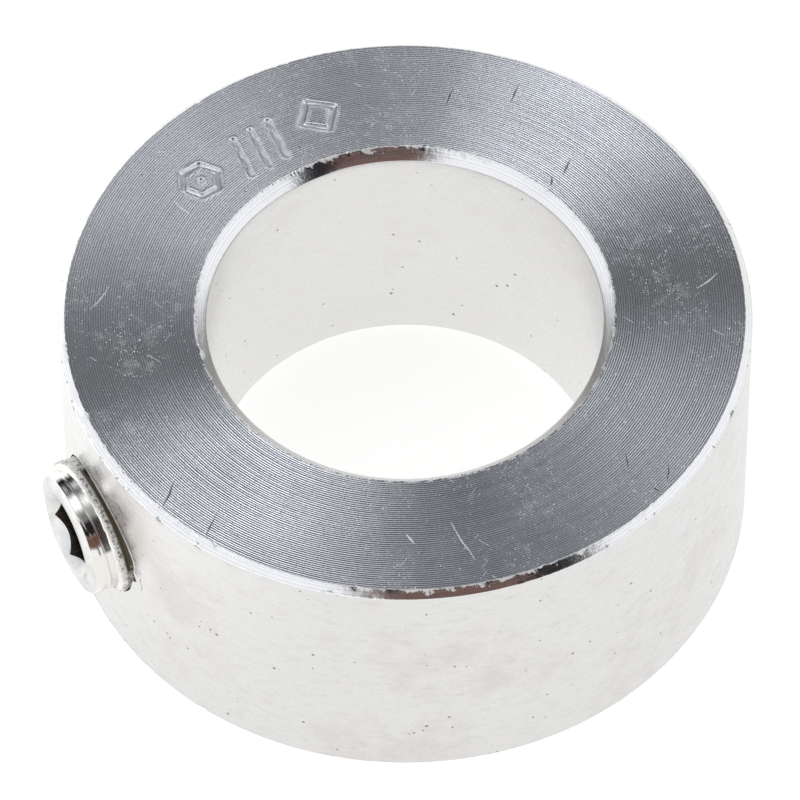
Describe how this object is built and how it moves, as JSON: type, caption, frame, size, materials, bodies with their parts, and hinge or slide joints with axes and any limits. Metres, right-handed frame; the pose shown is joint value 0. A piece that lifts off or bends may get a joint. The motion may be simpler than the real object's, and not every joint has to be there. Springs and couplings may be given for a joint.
{
  "type": "shaft collar",
  "caption": "Plain ring that slides on a round shaft and is locked by a radial hexagon socket set screw, to stop or space parts along the shaft.",
  "frame": {"origin": "on the bore axis, halfway between the two end faces", "axes": "+Z along the bore axis, towards the marked end face; the set screw stands out towards -Y"},
  "size_m": [0.028, 0.0293, 0.012],
  "materials": {
    "ring_metal": "turned, bright",
    "screw_metal": "nickel plated, bright"
  },
  "bodies": {
    "ring": {"collar_ring": "ring_metal"},
    "screw": {"set_screw": "screw_metal"}
  },
  "joints": [
    {"name": "screw_travel", "type": "slide", "parent": "ring", "child": "screw", "axis": [0, -1, 0], "range_m": [-0.0013, 0.003]}
  ]
}
